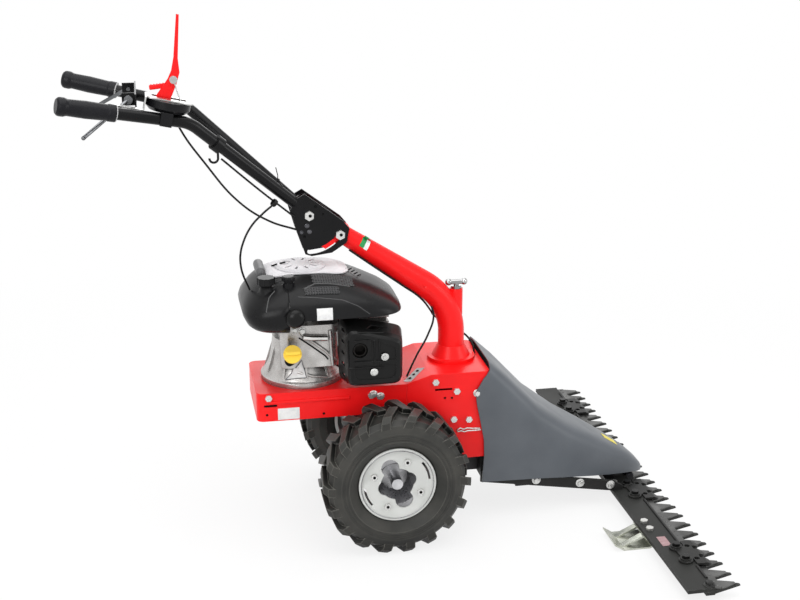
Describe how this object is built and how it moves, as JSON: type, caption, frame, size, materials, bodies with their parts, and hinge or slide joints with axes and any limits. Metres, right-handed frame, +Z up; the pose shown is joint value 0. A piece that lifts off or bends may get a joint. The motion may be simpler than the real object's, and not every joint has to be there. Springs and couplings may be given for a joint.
{
  "type": "sickle bar mower",
  "caption": "Walk-behind sickle bar mower: vertical-shaft engine on a two-wheeled chassis, swivelling column with folding handlebar, hooded knife drive and finger bar.",
  "frame": {"origin": "on the ground, midway between the finger tips and the rear ends of the grips, on the middle plane", "axes": "+X forward to the cutter bar, +Y to the operator's left, +Z up"},
  "size_m": [1.3428, 1.125, 1.1735],
  "materials": {
    "tyre_rubber": "matte, moulded lugs",
    "rim_silver": "satin silver paint",
    "hub_steel": "dark turned steel",
    "zinc_bolts": "bright zinc",
    "shaft_steel": "ground steel",
    "gearbox_iron": "painted casting",
    "bronze": "machined bronze",
    "drive_steel": "dark steel",
    "pulley_alloy": "turned alloy",
    "belt_rubber": "matte rubber",
    "bar_steel": "dark satin paint",
    "knife_steel": "ground steel",
    "clip_steel": "black satin paint",
    "skid_zinc": "zinc plated sheet",
    "red_paint": "gloss red paint",
    "engine_alloy": "die-cast alloy",
    "oil_cap_yellow": "moulded plastic",
    "guard_black": "black heat paint",
    "muffler_steel": "heat-dulled steel",
    "shroud_plastic": "fine-grained moulding",
    "starter_grey": "grey moulding",
    "lock_steel": "bright plated steel",
    "handle_black": "gloss black paint",
    "grip_rubber": "moulded rubber",
    "console_plastic": "moulded plastic",
    "gate_zinc": "bright zinc",
    "lever_steel": "grey steel rod",
    "hood_grey": "slate grey moulding",
    "cable_black": "smooth sheath"
  },
  "bodies": {
    "chassis": {"gearbox_casing": "gearbox_iron", "axle_bushes": "bronze", "drive_belt": "belt_rubber", "cutter_bar": "bar_steel", "finger_comb": "bar_steel", "hold_down_clips": "clip_steel", "bar_bolts": "zinc_bolts", "skid_left": "skid_zinc", "skid_right": "skid_zinc", "bar_support": "clip_steel", "engine_tray": "red_paint", "gearbox_cover": "red_paint", "frame_bolts": "zinc_bolts", "crankcase": "engine_alloy", "cylinder_block": "engine_alloy", "muffler_guard": "guard_black", "muffler": "muffler_steel", "air_filter": "shroud_plastic", "engine_shroud": "shroud_plastic", "fuel_tank": "shroud_plastic", "starter_cover": "starter_grey", "hood": "hood_grey", "engine_cable": "cable_black", "chassis_cables": "cable_black"},
    "wheels": {"wheel_axle": "shaft_steel", "hub_left": "hub_steel", "hub_right": "hub_steel", "rim_left": "rim_silver", "rim_right": "rim_silver", "tyre_left": "tyre_rubber", "tyre_right": "tyre_rubber", "wheel_fasteners": "zinc_bolts"},
    "worm_gear": {"worm_wheel": "bronze"},
    "drive_line": {"input_shaft": "shaft_steel", "input_pulley": "pulley_alloy", "crank_disc": "drive_steel"},
    "engine_rotor": {"crankshaft": "shaft_steel", "flywheel": "engine_alloy", "engine_pulley": "pulley_alloy"},
    "cutter": {"knife": "knife_steel", "knife_head": "drive_steel"},
    "swing_lever": {"swing_arm": "drive_steel"},
    "column": {"steering_column": "red_paint", "handle_bolts": "zinc_bolts", "column_cable": "cable_black"},
    "lock": {"column_lock": "lock_steel"},
    "handle": {"handlebar": "handle_black", "grip_left": "grip_rubber", "grip_right": "grip_rubber", "console": "console_plastic", "gate_plate": "gate_zinc", "control_bracket": "handle_black", "handle_cables": "cable_black"},
    "gear_stick": {"gear_lever": "red_paint", "selector_wire": "gate_zinc"},
    "clutch_left": {"clutch_lever_left": "lever_steel"},
    "clutch_right": {"clutch_lever_right": "lever_steel"},
    "starter_pull": {"starter_grip": "starter_grey"},
    "tank_cap": {"fuel_cap": "shroud_plastic"},
    "oil_filler": {"oil_cap": "oil_cap_yellow"}
  },
  "joints": [
    {"name": "axle_spin", "type": "hinge", "parent": "chassis", "child": "wheels", "pos_m": [0.00106, 0, 0.165], "axis": [0, 1, 0], "continuous": true},
    {"name": "drive_spin", "type": "hinge", "parent": "chassis", "child": "drive_line", "pos_m": [0.06306, 0, 0.2], "axis": [0, 0, 1], "continuous": true},
    {"name": "worm_wheel_spin", "type": "hinge", "parent": "chassis", "child": "worm_gear", "pos_m": [0.00106, 0, 0.165], "axis": [0, 1, 0], "continuous": true},
    {"name": "crank_spin", "type": "hinge", "parent": "chassis", "child": "engine_rotor", "pos_m": [-0.17694, 0, 0.45], "axis": [0, 0, 1], "continuous": true},
    {"name": "knife_slide", "type": "slide", "parent": "chassis", "child": "cutter", "axis": [0, 1, 0], "range_m": [-0.0225, 0.0225]},
    {"name": "swing_arm_turn", "type": "hinge", "parent": "chassis", "child": "swing_lever", "pos_m": [0.33106, 0, 0.086], "axis": [0, 0, 1], "range_deg": [-4.6, 4.6]},
    {"name": "column_swivel", "type": "hinge", "parent": "chassis", "child": "column", "pos_m": [0.16906, 0, 0.4], "axis": [0, 0, 1], "range_deg": [-25, 25], "deforming": ["chassis_cables", "engine_cable"]},
    {"name": "column_lock_turn", "type": "hinge", "parent": "column", "child": "lock", "pos_m": [0.18006, 0, 0.54], "axis": [0, 0, 1], "range_deg": [0, 90]},
    {"name": "handle_height", "type": "hinge", "parent": "column", "child": "handle", "pos_m": [-0.15694, 0, 0.729], "axis": [0, 1, 0], "range_deg": [-55, 0], "deforming": ["engine_cable"]},
    {"name": "gear_shift", "type": "hinge", "parent": "handle", "child": "gear_stick", "pos_m": [-0.46049, -0.084, 0.99136], "axis": [0, 1, 0], "range_deg": [-12, 12]},
    {"name": "clutch_left_pull", "type": "hinge", "parent": "handle", "child": "clutch_left", "pos_m": [-0.52694, 0.072, 1.002], "axis": [0, 1, 0], "range_deg": [0, 18], "stiffness_Nm_per_rad": 1, "springref_deg": -17.19},
    {"name": "clutch_right_pull", "type": "hinge", "parent": "handle", "child": "clutch_right", "pos_m": [-0.52694, -0.072, 1.002], "axis": [0, 1, 0], "range_deg": [0, 18], "stiffness_Nm_per_rad": 1, "springref_deg": -17.19},
    {"name": "starter_draw", "type": "slide", "parent": "chassis", "child": "starter_pull", "axis": [-0.8984, 0, 0.4392], "range_m": [0, 0.45], "stiffness_N_per_m": 20, "springref_m": -0.1},
    {"name": "fuel_cap_turn", "type": "hinge", "parent": "chassis", "child": "tank_cap", "pos_m": [-0.26094, -0.092, 0.606], "axis": [0, 0, 1], "range_deg": [0, 90]},
    {"name": "oil_cap_turn", "type": "hinge", "parent": "chassis", "child": "oil_filler", "pos_m": [-0.21094, -0.078, 0.418], "axis": [0, -0.848, 0.5299], "range_deg": [0, 90]}
  ],
  "couplings": [
    {"joint": "worm_wheel_spin", "follows": "drive_spin", "ratio": 0.033333},
    {"joint": "swing_arm_turn", "follows": "knife_slide", "rad_per_m": 3.4965}
  ]
}
